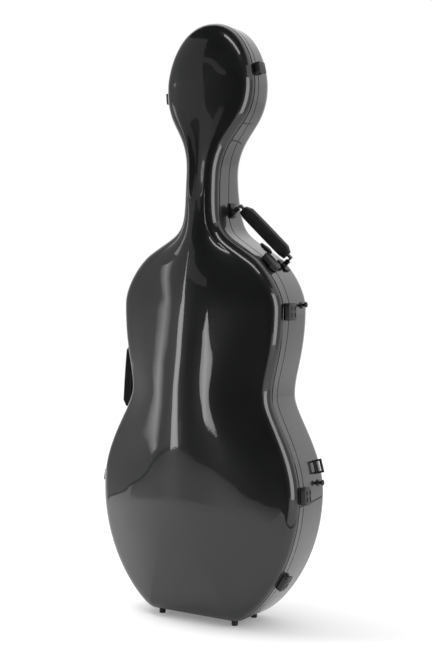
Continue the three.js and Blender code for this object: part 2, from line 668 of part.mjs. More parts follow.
function neckStrapBand() {
  const { width, thickness, innerRadius, tab } = neckStrap;
  const outer = innerRadius + thickness;
  const shape = new THREE.Shape();
  shape.moveTo(-outer - tab, 0);
  shape.lineTo(-innerRadius, 0);
  shape.absarc(0, 0, innerRadius, Math.PI, 0, true);
  shape.lineTo(outer + tab, 0);
  shape.lineTo(outer + tab, thickness);
  shape.lineTo(outer, thickness);
  shape.absarc(0, 0, outer, Math.asin(thickness / outer), Math.PI - Math.asin(thickness / outer));
  shape.lineTo(-outer - tab, thickness);
  const middle = cradleBottom + neckCradle.height / 2;
  return new THREE.ExtrudeGeometry(shape, { depth: width, bevelEnabled: false, curveSegments: 6 })
    .rotateX(Math.PI)
    .translate(0, neckCradle.front - clearance, middle + width / 2);
}
add('neck_strap', neckStrapBand(), webbingFinish);

for (const [way, side] of [['left', -1], ['right', 1]]) {
  const across = (from, to) => (side > 0 ? [from, to] : [-to, -from]);
  const cello = ({ celloRadius, stretch }, middle) => barAlongY(celloRadius, -far, far)
    .scale(1, 1, stretch).translate(0, 0, middle);
  const lower = block(...across(lowerPad.inner, far), lowerPad.front, far, 0, footHeight + lowerPad.height);
  const lowerBout = cello(lowerPad, lowerBoutHeight - lowerCelloDrop);
  add(`lower_pad_${way}`, cut(common(inBase, lower), lowerBout), padFinish);
  const upper = block(...across(shoulderPad.inner, far), shoulderPad.front, far, shoulderPadBottom,
    shoulderPadBottom + shoulderPad.height);
  const upperBout = cello(shoulderPad, shoulderHeight - upperCelloDrop);
  add(`shoulder_pad_${way}`, cut(common(inBase, upper), upperBout), padFinish);
}

function endpinRest() {
  const { height, halfWidth, front, grooveWidth, grooveFloor } = endpinBlock;
  const top = footHeight + height;
  const groove = block(-grooveWidth / 2, grooveWidth / 2, -far, grooveFloor, -far, far);
  return cut(common(inBase, block(-halfWidth, halfWidth, front, far, 0, top)), groove);
}
add('endpin_block', endpinRest(), rubberFinish);

// Bow holders

const inPocket = room(lid, roomSkin + tipPocket.wall, liningBelowRim);

function pocket(side) {
  const { across, width, front, wall, height, underShoulder } = tipPocket;
  const bottom = shoulderHeight - underShoulder;
  const top = bottom + height;
  const [left, right] = [side * across - width / 2, side * across + width / 2];
  const outside = block(left, right, -far, -front, bottom, top);
  const inside = block(left + wall, right - wall, -far, -front - wall, 0, top - wall);
  return cut(common(inLid, outside), common(inPocket, inside));
}

// The clip turns on a post beside the slot for the bow's stick
function clipSet(way, side) {
  const { across, width, length, front, slotWidth, slotDepth } = bowClip;
  const height = lowerBoutHeight - bowClip.underBout;
  const { postRadius, postWall, postDepth, tongueLength, tongueWidth, tongueThickness } = bowClip;
  const toPost = side * (slotWidth / 2 + postWall);
  const group = new THREE.Group();
  group.position.set(side * across + toPost, -front, height);
  caseGroup.add(group);
  const holder = common(inLid, block(side * across - width / 2, side * across + width / 2, -far, -front,
    height - length / 2, height + length / 2)).translate(-group.position.x, front, -height);
  const slot = block(-toPost - slotWidth / 2, -toPost + slotWidth / 2, -slotDepth, far, -far, far);
  const hole = barAlongY(postRadius + clearance, -postDepth - clearance, far);
  add(`bow_clip_base_${way}`, cut(holder, slot, hole), plasticFinish, group);

  const outer = clearance + tongueThickness;
  const tongue = block(...(side > 0 ? [-tongueLength, 0] : [0, tongueLength]), clearance, outer,
    -tongueWidth / 2, tongueWidth / 2);
  const post = barAlongY(postRadius, -postDepth, clearance + tongueThickness / 2);
  const boss = barAlongY(tongueWidth / 2, clearance, outer);
  add(`bow_clip_${way}`, join(tongue, boss, post), plasticFinish, group);
}

for (const [way, side] of [['left', -1], ['right', 1]]) {
  add(`bow_tip_pocket_${way}`, pocket(side), padFinish);
  clipSet(way, side);
}

// Accessory box

const inBox = room(base, roomSkin + accessoryBox.wall, liningBelowRim);
const boxHalf = accessoryBox.width / 2;
const boxBottom = headHeight - accessoryBox.underHead;
const boxTop = boxBottom + accessoryBox.height;

const boxPivot = new THREE.Group();
boxPivot.position.set(0, accessoryBox.front - clearance - accessoryBox.barrelRadius,
  boxBottom + accessoryBox.barrelRadius);
caseGroup.add(boxPivot);
const fromPivot = (geometry) => geometry.translate(0, -boxPivot.position.y, -boxPivot.position.z);

function boxBody() {
  const { wall, front, barrelRadius, pinRadius } = accessoryBox;
  const outside = common(inBase, block(-boxHalf, boxHalf, front, far, boxBottom, boxTop));
  const inside = common(inBox, block(wall - boxHalf, boxHalf - wall, 0, far, boxBottom + wall, boxTop - wall));
  const earRadius = barrelRadius - clearance;
  const intoBox = barrelRadius + clearance + wall / 2;
  const ear = (x) => join(
    barAlongX(earRadius, x, x + wall),
    block(x, x + wall, 0, intoBox, -earRadius, earRadius));
  return join(fromPivot(cut(outside, inside)), ear(-boxHalf), ear(boxHalf - wall),
    barAlongX(pinRadius, -boxHalf + wall / 2, boxHalf - wall / 2));
}
add('accessory_box', boxBody(), plasticFinish, boxPivot);

function boxDoor() {
  const { wall, height, barrelRadius, pinRadius, knobLength, knobRise } = accessoryBox;
  const inner = boxHalf - wall - clearance;
  const hingeBar = barAlongX(barrelRadius, -inner, inner);
  const doorTop = height - barrelRadius;
  const door = block(-boxHalf, boxHalf, barrelRadius - wall, barrelRadius, barrelRadius + clearance, doorTop);
  const stem = block(-inner, inner, barrelRadius - wall, barrelRadius, 0, barrelRadius * 2);
  const knob = block(-knobLength / 2, knobLength / 2, barrelRadius - wall - knobRise, barrelRadius - wall / 2,
    doorTop - knobLength / 2, doorTop - wall);
  return cut(join(hingeBar, stem, door, knob), barAlongX(pinRadius + clearance, -far, far));
}
add('accessory_box_door', boxDoor(), plasticFinish, boxPivot);

// Origin at the middle of the underside of the whole case
const extent = new THREE.Box3().setFromObject(caseGroup);
const centre = extent.getCenter(new THREE.Vector3());
caseGroup.position.set(-centre.x, -centre.y, -extent.min.z);

export default caseGroup;
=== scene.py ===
import bmesh
import bpy
import json
import math
from mathutils import Matrix, Vector

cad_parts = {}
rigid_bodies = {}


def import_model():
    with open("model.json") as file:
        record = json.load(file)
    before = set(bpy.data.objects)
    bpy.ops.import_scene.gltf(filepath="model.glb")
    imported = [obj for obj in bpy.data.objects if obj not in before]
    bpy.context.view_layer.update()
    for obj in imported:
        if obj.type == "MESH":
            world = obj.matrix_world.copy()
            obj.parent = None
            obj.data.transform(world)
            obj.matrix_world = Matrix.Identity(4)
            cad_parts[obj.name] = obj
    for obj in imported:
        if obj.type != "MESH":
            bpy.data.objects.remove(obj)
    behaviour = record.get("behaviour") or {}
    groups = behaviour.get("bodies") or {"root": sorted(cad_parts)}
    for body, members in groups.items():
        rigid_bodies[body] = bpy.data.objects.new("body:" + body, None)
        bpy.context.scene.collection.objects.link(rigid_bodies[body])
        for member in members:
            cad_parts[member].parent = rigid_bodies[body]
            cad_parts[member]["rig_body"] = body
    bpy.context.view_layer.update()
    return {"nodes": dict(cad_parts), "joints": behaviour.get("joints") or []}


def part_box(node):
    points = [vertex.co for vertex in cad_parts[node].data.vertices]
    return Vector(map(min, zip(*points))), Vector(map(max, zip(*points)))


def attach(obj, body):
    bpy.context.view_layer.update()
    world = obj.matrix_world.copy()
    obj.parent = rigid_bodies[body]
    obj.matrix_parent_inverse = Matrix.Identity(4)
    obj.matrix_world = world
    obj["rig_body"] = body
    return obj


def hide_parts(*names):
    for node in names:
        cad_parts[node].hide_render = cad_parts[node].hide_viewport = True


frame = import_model()
nodes = frame["nodes"]
joints = {joint["name"]: joint for joint in frame["joints"]}

# Camera
# The case stands on the floor at Z = 0 with its lid towards -Y. The camera stands to its right, a
# little above its middle, and looks slightly down, as in the photograph. Lengths are in metres.

picture_width = 432
picture_height = 648
sensor_height = 36.0
camera_turn = math.radians(30.59)
camera_pitch = math.radians(2.486)
camera_roll = math.radians(1.635)
camera_distance = 3.111
camera_rise = 0.8002
pixels_per_metre = 446.85
axis_pixel = 208.91
seal_low, seal_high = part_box("rim_seal")
seam_y = (seal_low.y + seal_high.y) / 2
centre_x = (seal_low.x + seal_high.x) / 2


def aim_camera():
    across = Vector((math.cos(camera_turn), math.sin(camera_turn), 0))
    ahead = Vector((-math.sin(camera_turn), math.cos(camera_turn), 0))
    up = Vector((0, 0, 1))
    sight = ahead * math.cos(camera_pitch) - up * math.sin(camera_pitch)
    above = up * math.cos(camera_pitch) + ahead * math.sin(camera_pitch)
    right = across * math.cos(camera_roll) + above * math.sin(camera_roll)
    top = above * math.cos(camera_roll) - across * math.sin(camera_roll)
    data = bpy.data.cameras.new("camera")
    data.sensor_fit = "VERTICAL"
    data.sensor_height = sensor_height
    data.lens = pixels_per_metre * camera_distance / picture_height * sensor_height
    data.shift_x = (picture_width / 2 - axis_pixel) / picture_height
    camera = bpy.data.objects.new("camera", data)
    place = Vector((0, seam_y, camera_rise)) - ahead * camera_distance
    turned = Matrix((right, top, -sight)).transposed().to_4x4()
    camera.matrix_world = Matrix.Translation(place) @ turned
    bpy.context.scene.collection.objects.link(camera)
    bpy.context.scene.camera = camera


aim_camera()
bpy.context.scene.view_settings.view_transform = "Standard"

# Studio
# A white paper floor and a white room lie behind the case. Before it is a dark room with soft boxes
# that only the lacquer mirrors. Turns are in degrees and run from the front to the right.

floor_reach = 14.0
floor_white = 0.82
floor_lift = 0.2
floor_roughness = 0.9
room_light = 1.0
dark_glow = 0.012
grey_glow = 0.36
key_place = (-1.6, -0.6, 3.2)
key_target = (0, 0, 0.6)
key_size = 1.6
key_power = 60
ceiling = ((-4.0, 4.0), (-5.0, 1.2), 3.6)
top_box = ((0.2, 1.8), (-1.25, -0.75), 3.0)
top_box_glow = 6.0
# Name, the turns it spans, its lower and upper edge, its distance and its glow
screens = (
    ("dark_front", -30, 84, 0.0, 3.6, 3.40, dark_glow),
    ("grey_left", -118, -30, 0.0, 3.6, 3.44, grey_glow),
    ("grey_right", 98, 124, 0.0, 1.8, 2.40, 0.5),
    ("strip_right", 73, 96, 0.05, 1.9, 2.30, 4.5),
)
screen_step = 6
# Name, distance, glow at the edges and in the middle, and rows of left turn, right turn and height
glow_strips = (
    ("strip_left", 1.60, 5.0, 6.5,
     ((-33.8, -32.6, 1.26), (-33.7, -31.3, 1.20), (-32.7, -28.8, 0.98), (-34.4, -27.9, 0.80),
      (-36.0, -28.3, 0.62), (-40.2, -31.2, 0.46), (-39.8, -29.5, 0.25), (-38.3, -28.7, 0.12))),
    ("pale_left", 1.64, 0.6, 3.2,
     ((-72, -60, 1.36), (-62, -48, 1.10), (-57, -45, 0.95), (-61, -45, 0.80), (-66, -49, 0.65),
      (-72, -57, 0.52), (-80, -60, 0.42), (-68, -57, 0.28), (-60, -54, 0.18))),
    ("strip_front", 1.60, 4.0, 7.0,
     ((-2.9, -2.5, 0.85), (-2.8, 2.0, 0.73), (0.8, 8.5, 0.59), (3.0, 13.5, 0.50),
      (5.0, 16.5, 0.44), (7.0, 14.0, 0.40), (6.9, 8.5, 0.36))),
    ("grey_neck", 3.38, grey_glow, grey_glow, ((-31, -8, 1.95), (-31, -8, 1.74))),
)
paper_edge = ((-1.28, -0.04), (-2.17, -0.72), (-2.07, -1.38), (-1.41, -1.75), (-0.91, -1.97),
              (-0.35, -2.38), (0.25, -3.07), (0.72, -3.11), (0.87, -2.24), (0.76, -1.20),
              (0.79, -0.45), (0.80, 0.60), (0.95, 2.60))
paper_left_count = 5
paper_glow = 1.0
paper_rim_share = 1.06
paper_dim_share = 0.62
beyond_share = 1.05
left_floor_share = 3.0
right_floor_share = 5.0
layer_gap = 0.001


def set_inputs(made, inputs):
    """Sets a node's inputs, and links those for which a socket is given."""
    for name, value in inputs.items():
        if isinstance(value, bpy.types.NodeSocket):
            made.id_data.links.new(value, made.inputs[name])
        else:
            made.inputs[name].default_value = value


def node(tree, kind, inputs=None, **settings):
    made = tree.nodes.new(kind)
    for name, value in settings.items():
        setattr(made, name, value)
    set_inputs(made, inputs or {})
    return made


def new_material(name):
    material = bpy.data.materials.new(name)
    material.use_nodes = True
    return material, material.node_tree, material.node_tree.nodes["Principled BSDF"]


def times(first, second):
    return node(first.id_data, "ShaderNodeMath", {0: first, 1: second},
                operation="MULTIPLY").outputs[0]


def new_object(name, mesh):
    made = bpy.data.objects.new(name, mesh)
    bpy.context.scene.collection.objects.link(made)
    return made


def on_cylinder(turn, distance, height):
    turn = math.radians(turn)
    return distance * math.sin(turn), seam_y - distance * math.cos(turn), height


def reflected_card(name, points, faces, glow):
    """A surface seen only in reflections, with one glow for all of it or one for each point."""
    mesh = bpy.data.meshes.new(name)
    mesh.from_pydata(points, [], faces)
    material, tree, shader = new_material(name)
    tree.nodes.remove(shader)
    if isinstance(glow, list):
        mesh.attributes.new("glow", "FLOAT", "POINT").data.foreach_set("value", glow)
        glow = node(tree, "ShaderNodeAttribute", attribute_name="glow").outputs["Fac"]
    glowing = node(tree, "ShaderNodeEmission", {"Color": (1, 1, 1, 1), "Strength": glow})
    set_inputs(tree.nodes["Material Output"], {"Surface": glowing.outputs["Emission"]})
    mesh.materials.append(material)
    card = new_object(name, mesh)
    card.visible_camera = False
    card.visible_diffuse = False
    card.visible_shadow = False
    card.visible_transmission = False


def reflected_sheet(name, distance, glow, rows, columns):
    """A card bent round the case, drawn row by row from left to right."""
    points = [on_cylinder(left + (right - left) * k / columns, distance, height)
              for left, right, height in rows for k in range(columns + 1)]
    faces = [(k, k + 1, k + columns + 2, k + columns + 1)
             for k in range(len(points) - columns - 1) if (k + 1) % (columns + 1)]
    reflected_card(name, points, faces, glow)


def level_corners(x_range, y_range, z):
    (x0, x1), (y0, y1) = x_range, y_range
    return [(x0, y0, z), (x1, y0, z), (x1, y1, z), (x0, y1, z)]


def beyond_paper():
    """Cards just above the floor, seen only in reflections, that stand for the floor past the
    paper's edge: grey on the left, dark in front and on the right, with a thin dark edge. Just
    inside the edge a band paints the paper's reflection dimmer, as painted shade."""
    edge = [Vector(point) for point in paper_edge]
    middle = Vector((0, seam_y))
    left, right, dim = edge[:paper_left_count], edge[paper_left_count - 1:-2], edge[1:-3]

    def band(name, points, shares, layer, glow):
        corners = [(*(middle + (point - middle) * share), layer * layer_gap)
                   for point in points for share in shares]
        faces = [(k, k + 1, k + 3, k + 2) for k in range(0, len(corners) - 2, 2)]
        reflected_card(name, corners, faces, glow)

    band("paper_end", edge, (1.0, paper_rim_share), 4, dark_glow)
    band("left_floor", left, (beyond_share, left_floor_share), 3, grey_glow)
    band("right_floor", right, (beyond_share, right_floor_share), 3, dark_glow)
    # Painted shade: a band whose glow falls from the paper's white to grey towards the edge, seen
    # only in reflections.
    band("paper_dim", dim, (paper_dim_share, 1.0), 2, [paper_glow, grey_glow] * len(dim))


def build_studio():
    world = bpy.data.worlds.new("room")
    world.use_nodes = True
    bpy.context.scene.world = world
    set_inputs(world.node_tree.nodes["Background"],
               {"Color": (1, 1, 1, 1), "Strength": room_light})

    mesh = bpy.data.meshes.new("floor")
    reach = (-floor_reach, floor_reach)
    mesh.from_pydata(level_corners(reach, reach, 0), [], [(0, 1, 2, 3)])
    material, tree, shader = new_material("floor")
    seen = node(tree, "ShaderNodeLightPath").outputs["Is Camera Ray"]
    set_inputs(shader, {
        "Base Color": (floor_white, floor_white, floor_white, 1), "Roughness": floor_roughness,
        "Emission Color": (1, 1, 1, 1), "Emission Strength": times(seen, floor_lift)})
    mesh.materials.append(material)
    new_object("floor", mesh)

    for name, left, right, low, high, distance, glow in screens:
        reflected_sheet(name, distance, glow, ((left, right, low), (left, right, high)),
                        round((right - left) / screen_step))
    for name, distance, edge, middle, rows in glow_strips:
        reflected_sheet(name, distance, [edge, middle, edge] * len(rows), rows, 2)
    beyond_paper()
    reflected_card("ceiling", level_corners(*ceiling), [(0, 1, 2, 3)], dark_glow)
    reflected_card("top_box", level_corners(*top_box), [(0, 1, 2, 3)], top_box_glow)

    lamp = bpy.data.lights.new("key", "AREA")
    lamp.shape = "RECTANGLE"
    lamp.size = lamp.size_y = key_size
    lamp.energy = key_power
    key = bpy.data.objects.new("key", lamp)
    away = Vector(key_place) - Vector(key_target)
    turned = away.to_track_quat("Z", "Y").to_matrix().to_4x4()
    key.matrix_world = Matrix.Translation(key_place) @ turned
    key.visible_glossy = False
    bpy.context.scene.collection.objects.link(key)


build_studio()

# Lid and base shells
# Two thin lacquered composite skins, laid up in a mould. Each rises from the seam as an upright
# band, turns over a round edge and closes in a domed face. The lid has a small step at its face.

foot_height = 0.012
outline_sizes = {"bottom": (0.104, foot_height), "lower": (0.251, 0.294), "waist": (0.178, 0.514),
                 "upper": (0.201, 0.704), "shoulder": (0.130, 0.821), "neck": (0.041, 0.992),
                 "head": (0.109, 1.190), "top": (0.0, 1.330)}
shoulder_slope = math.radians(33.5)
corner_shares = (0.18, 0.63)
lower_bout_shares = (0.46, 0.19)
waist_shares = (0.27, 0.55)
upper_bout_shares = (0.37, 0.25)
shoulder_shares = (0.53, 0.8)
neck_shares = (0.5, 0.49)
crown_shares = (0.35, 0.7)
point_counts = (14, 30, 28, 24, 26, 24, 30, 38)
fine_steps = 300
station_names = ("lower", "waist", "upper", "shoulder", "neck", "head")
shell_wall = 0.004
half_gap = 0.0009
lip = 0.0007
lid_form = {"facing": -1, "step": 0.0008, "radius": 0.036, "end": math.radians(62),
            "walls": (0.019, 0.022, 0.026, 0.033, 0.038, 0.016),
            "crests": (0.118, 0.122, 0.112, 0.094, 0.067, 0.060)}
base_form = {"facing": 1, "step": 0.0, "radius": 0.032, "end": math.radians(84),
             "walls": (0.088, 0.078, 0.073, 0.072, 0.033, 0.035),
             "crests": (0.139, 0.128, 0.122, 0.104, 0.076, 0.100)}
lip_shares = ((1, 0), (0.3, 0.3), (0, 1), (0, 2.5))
step_shares = ((0, 2.8), (0, 1.6), (0.3, 1), (1.5, 0.7))
evened_reach = 9
outer_steps = (12, 26)
inner_steps = (6, 14)
welding_distance = 0.00002
sharp_edge = math.radians(40)


def along_case(values, z):
    heights = [outline_sizes[name][1] for name in station_names]
    last = len(heights) - 1
    if z <= heights[0]:
        return values[0]
    if z >= heights[last]:
        return values[last]
    i = next(k for k in range(last) if z < heights[k + 1])

    def slope(k):
        if k <= 0 or k >= last:
            return 0
        return (values[k + 1] - values[k - 1]) / (heights[k + 1] - heights[k - 1])

    span = heights[i + 1] - heights[i]
    share = (z - heights[i]) / span
    rise = values[i + 1] - values[i]
    a = slope(i) * span - rise
    b = rise - slope(i + 1) * span
    return values[i] + rise * share + share * (1 - share) * (a * (1 - share) + b * share)


def bezier_at(points, t):
    a, b, c, d = points
    s = 1 - t
    place = a * s ** 3 + b * (3 * s * s * t) + c * (3 * s * t * t) + d * t ** 3
    heading = (b - a) * (s * s) + (c - b) * (2 * s * t) + (d - c) * (t * t)
    return place, heading.normalized()


def evenly_along(points, count):
    places = [bezier_at(points, k / fine_steps)[0] for k in range(fine_steps + 1)]
    runs = [0.0]
    for k in range(fine_steps):
        runs.append(runs[-1] + (places[k + 1] - places[k]).length)
    found = []
    k = 0
    for i in range(count):
        goal = runs[-1] * i / count
        while runs[k + 1] < goal:
            k += 1
        share = (goal - runs[k]) / (runs[k + 1] - runs[k])
        found.append(bezier_at(points, (k + share) / fine_steps))
    return found


def half_outline():
    middle = Vector((0, foot_height))
    bottom, lower, waist, upper, shoulder, neck, head, top = map(Vector, outline_sizes.values())

    def led(start, end, shares):
        return start.lerp(end, shares[0]), end.lerp(start, shares[1])

    def bend(start, end, shares):
        lead, trail = led(start, end, shares)
        return start, Vector((start.x, lead.y)), Vector((end.x, trail.y)), end

    corner_lead, corner_trail = led(bottom, lower, corner_shares)
    crown_lead, crown_trail = led(head, top, crown_shares)
    slope = Vector((-math.cos(shoulder_slope), math.sin(shoulder_slope)))
    over_bout = Vector((upper.x, upper.y + (shoulder.y - upper.y) * upper_bout_shares[0]))
    before_shoulder = shoulder - slope * (upper_bout_shares[1] * (shoulder - upper).length)
    past_shoulder = shoulder + slope * (shoulder_shares[0] * (shoulder - neck).length)
    under_neck = Vector((neck.x, neck.y + (shoulder.y - neck.y) * shoulder_shares[1]))
    curves = [
        (middle, middle.lerp(bottom, 1 / 3), middle.lerp(bottom, 2 / 3), bottom),
        (bottom, Vector((corner_lead.x, bottom.y)), Vector((lower.x, corner_trail.y)), lower),
        bend(lower, waist, lower_bout_shares),
        bend(waist, upper, waist_shares),
        (upper, over_bout, before_shoulder, shoulder),
        (shoulder, past_shoulder, under_neck, neck),
        bend(neck, head, neck_shares),
        (head, Vector((head.x, crown_lead.y)), Vector((crown_trail.x, top.y)), top),
    ]
    found = []
    for curve, count in zip(curves, point_counts):
        found += evenly_along(curve, count)
    found.append(bezier_at(curves[-1], 1))
    return [(place, Vector((heading.y, -heading.x))) for place, heading in found]


def whole_outline():
    """Each point of the outline with its way out and the point of the spine that it faces."""
    right = half_outline()
    left = [(Vector((-place.x, place.y)), Vector((-out.x, out.y)))
            for place, out in reversed(right[1:-1])]
    low, high = outline_sizes["lower"][1], outline_sizes["head"][1]
    return [(place, out, Vector((0, min(max(place.y, low), high)))) for place, out in right + left]


outline = whole_outline()


def half_ring(form, inset, depth, on_wall=False):
    """The outline drawn in by inset, at a depth from the seam or from the end of the wall."""
    points = []
    for place, out, spine in outline:
        deep = along_case(form["walls"], place.y) + depth if on_wall else depth
        points.append(Vector((centre_x + place.x - out.x * inset, seam_y + form["facing"] * deep,
                              place.y - out.y * inset)))
    return points


def evened(values, reach):
    """Each value of a closed run replaced by the mean of those beside it."""
    count = len(values)
    return [sum((values[(i + k) % count] for k in range(-reach, reach + 1)), values[0] * 0)
            / (2 * reach + 1) for i in range(count)]


def half_rings(form, skin, rim_depth):
    """Rings of one half of the case from the rim over the edge and the face in to the spine."""
    edge_count, face_count = inner_steps if skin else outer_steps
    step, end = form["step"], form["end"]
    radius = form["radius"] - skin
    set_back = skin + step
    if skin:
        rings = [half_ring(form, set_back, rim_depth)]
    else:
        rings = [half_ring(form, lip * inset, rim_depth + lip * depth)
                 for inset, depth in lip_shares]
        if step:
            rings += [half_ring(form, step * inset, -step * depth, True)
                      for inset, depth in step_shares]
    for k in range(edge_count + 1):
        angle = end * k / edge_count
        inset = set_back + radius * (1 - math.cos(angle))
        rings.append(half_ring(form, inset, radius * math.sin(angle), True))
    face_inset = set_back + radius * (1 - math.cos(end))
    rays = [place - out * face_inset - spine for place, out, spine in outline]
    swells = [out.dot(ray) / math.tan(end) / 2 for (place, out, spine), ray in zip(outline, rays)]
    swells = evened(evened(swells, evened_reach), evened_reach)
    rounder = evened(evened(rays, evened_reach), evened_reach)
    for k in range(1, face_count + 1):
        share = 1 - k / face_count
        inward = 1 - share * share
        ring = []
        for (place, out, spine), ray, even_ray, swell in zip(outline, rays, rounder, swells):
            start = along_case(form["walls"], place.y) + radius * math.sin(end)
            ridge = along_case(form["crests"], spine.y) - skin - start - swell
            ray = ray.lerp(even_ray, inward)
            depth = start + swell * inward + ridge * inward * inward
            ring.append(Vector((centre_x + spine.x + ray.x * share,
                                seam_y + form["facing"] * depth, spine.y + ray.y * share)))
        rings.append(ring)
    return rings


def of_kind(parts, kind):
    return [part for part in parts if isinstance(part, kind)]


def skin_mesh(rings):
    """A mesh drawn out from one closed ring of points to the next, welded where rings meet."""
    built = bmesh.new()
    row = [built.verts.new(point) for point in rings[0]]
    edges = [built.edges.new((row[i - 1], row[i])) for i in range(len(row))]
    for ring in rings[1:]:
        drawn = bmesh.ops.extrude_edge_only(built, edges=edges)["geom"]
        edges = of_kind(drawn, bmesh.types.BMEdge)
        fresh = set(of_kind(drawn, bmesh.types.BMVert))
        row = [next(edge.other_vert(vert) for edge in vert.link_edges
                    if edge.other_vert(vert) in fresh) for vert in row]
        for vert, point in zip(row, ring):
            vert.co = point
    bmesh.ops.remove_doubles(built, verts=built.verts, dist=welding_distance)
    return built


def finished(name, built, body, material, replaced=()):
    """Closes a bmesh into a smooth-shaded object that rides on a body."""
    bmesh.ops.recalc_face_normals(built, faces=built.faces)
    for face in built.faces:
        face.smooth = True
    for edge in built.edges:
        edge.smooth = len(edge.link_faces) != 2 or edge.calc_face_angle(0) <= sharp_edge
    mesh = bpy.data.meshes.new(name)
    built.to_mesh(mesh)
    built.free()
    mesh.materials.append(material)
    made = new_object(name, mesh)
    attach(made, body)
    if replaced:
        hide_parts(*replaced)
    return made


def surface(name):
    """A new material with its shader and the place on the object."""
    material, tree, shader = new_material(name)
    return material, shader, node(tree, "ShaderNodeTexCoord").outputs["Object"]


def noise(place, scale, detail):
    inputs = {"Vector": place, "Scale": scale, "Detail": detail}
    return node(place.id_data, "ShaderNodeTexNoise", inputs).outputs["Fac"]


def relief(height, strength, distance, under=None):
    """Surface relief from a height, over another relief where one is given."""
    inputs = {"Height": height, "Strength": strength, "Distance": distance}
    if under:
        inputs["Normal"] = under
    return node(height.id_data, "ShaderNodeBump", inputs).outputs["Normal"]


def between(factor, low, high, dark, light):
    """A colour between two shades, as a factor runs from low to high."""
    ramp = node(factor.id_data, "ShaderNodeValToRGB", {"Fac": factor})
    for stop, place, shade in zip(ramp.color_ramp.elements, (low, high), (dark, light)):
        stop.position = place
        stop.color = (*shade, 1)
    return ramp.outputs["Color"]


def lacquer_material():
    """Graphite under clear lacquer, with fine flakes, slight waves and orange peel."""
    material, shader, place = surface("graphite_lacquer")
    flakes = times(noise(place, 900, 2), noise(place, 7, 3))
    waves = relief(noise(place, 9, 1), 1.0, 0.0006)
    peel = relief(noise(place, 260, 1), 0.35, 0.00004, waves)
    set_inputs(shader, {
        "Base Color": between(flakes, 0.12, 0.42, (0.0045, 0.0048, 0.0050),
                              (0.0085, 0.0090, 0.0094)),
        "Normal": peel, "Coat Normal": peel, "Roughness": 0.32, "IOR": 1.5,
        "Specular IOR Level": 0.25, "Coat Weight": 1.0, "Coat Roughness": 0.025, "Coat IOR": 1.5})
    return material


lacquer = lacquer_material()


def add_shell(name, form):
    outer = half_rings(form, 0, half_gap)
    inner = half_rings(form, shell_wall, half_gap)
    return finished(name, skin_mesh(outer[::-1] + inner), name, lacquer,
                    replaced=(name + "_shell",))


add_shell("lid", lid_form)
base_skin = add_shell("base", base_form)

# Seal and linings
# A black rubber seal lies in the seam. Each shell is lined with short black plush over thin foam,
# glued in and turned in just below the rim, where a sewn binding finishes its edge.

seal_inset = 0.0005
seal_width = 0.003
seal_half = 0.0006
seal_round = 0.0003
lining_skin = 0.0043
lining_thickness = 0.006
lining_below_rim = 0.003
lining_turn_in = 0.002
lining_round_share = 0.6
binding_below_rim = 0.009
binding_width = 0.004
binding_profile = ((-0.0012, 0), (0.0007, 0), (0.0011, 0.5), (0.0007, 1), (-0.0012, 1),
                   (-0.0012, 0))
moulded_relief = 0.00006


def grain(place, scale, strength, distance, under=None):
    return relief(noise(place, scale, 2), strength, distance, under)


def mottled(place, scale, dark, light):
    return between(noise(place, scale, 3), 0.3, 0.7, dark, light)


def varied(place, scale, detail, low, high):
    """A value that drifts between two limits."""
    inputs = {"Value": noise(place, scale, detail), "To Min": low, "To Max": high}
    return node(place.id_data, "ShaderNodeMapRange", inputs).outputs["Result"]


def plush_material(name, dark, light):
    """Short pile with a slightly brushed nap."""
    material, shader, place = surface(name)
    nap = grain(place, 55, 0.5, 0.0012)
    set_inputs(shader, {
        "Base Color": mottled(place, 38, dark, light),
        "Normal": grain(place, 1400, 0.9, 0.0007, nap), "Roughness": 0.95,
        "Sheen Weight": 0.55, "Sheen Roughness": 0.35, "Specular IOR Level": 0.15})
    return material


def moulded_material(name, dark, light, roughness):
    """Moulded rubber or plastic with a fine spark-eroded grain."""
    material, shader, place = surface(name)
    soft = grain(place, 90, 0.4, moulded_relief * 3)
    set_inputs(shader, {
        "Base Color": mottled(place, 30, dark, light),
        "Normal": grain(place, 1500, 0.7, moulded_relief, soft),
        "Roughness": varied(place, 60, 3, roughness - 0.08, roughness + 0.08)})
    return material


plush = plush_material("black_plush", (0.022, 0.0225, 0.026), (0.042, 0.043, 0.049))
binding_cloth = plush_material("binding_cloth", (0.008, 0.008, 0.009), (0.016, 0.016, 0.018))
rubber = moulded_material("black_rubber", (0.011, 0.011, 0.011), (0.02, 0.02, 0.02), 0.62)


def add_seal():
    deep, eased = seal_inset + seal_width, seal_inset + seal_round
    flat = seal_half - seal_round
    profile = ((eased, -seal_half), (seal_inset, -flat), (seal_inset, flat), (eased, seal_half),
               (deep, seal_half), (deep, -seal_half), (eased, -seal_half))
    rings = [half_ring(base_form, inset, depth) for inset, depth in profile]
    finished("seam_seal", skin_mesh(rings), "base", rubber, replaced=("rim_seal",))


def add_lining(name, form):
    outer = half_rings(form, lining_skin, lining_below_rim)
    inner = half_rings(form, lining_skin + lining_thickness, lining_below_rim + lining_turn_in)
    edge = form["step"] + lining_skin
    rounded_edge = half_ring(form, edge + lining_thickness * lining_round_share, lining_below_rim)
    lining = finished(name + "_plush", skin_mesh(outer[::-1] + [rounded_edge] + inner), name,
                      plush, replaced=(name + "_lining",))
    edge += lining_thickness
    band = [half_ring(form, edge + inset, binding_below_rim + binding_width * share)
            for inset, share in binding_profile]
    finished(name + "_binding", skin_mesh(band), name, binding_cloth)


add_seal()
add_lining("lid", lid_form)
add_lining("base", base_form)

# Hinges
# Two pressed butt hinges of grey steel, riveted to the left side wall. The three knuckles turn on
# one pin, and the lid's leaf holds the middle one. Their shared axis touches both bouts.

hinge_edge = 0.0005
hinge_leaf_back = -0.0046
hinge_leaf_middle = 0.0215
hinge_leaf_thickness = 0.0032
hinge_rivet_apart = 0.0075
hinge_rivet_set_in = 0.006
rivet_radius = 0.0022
rivet_rise = 0.0009
head_rings = 3
head_sides = 14
head_sunk_share = 0.6
node_weld = 0.00001
bevel_weld = 0.000002
turned_weld = 0.000005
flat_angle = math.radians(0.5)


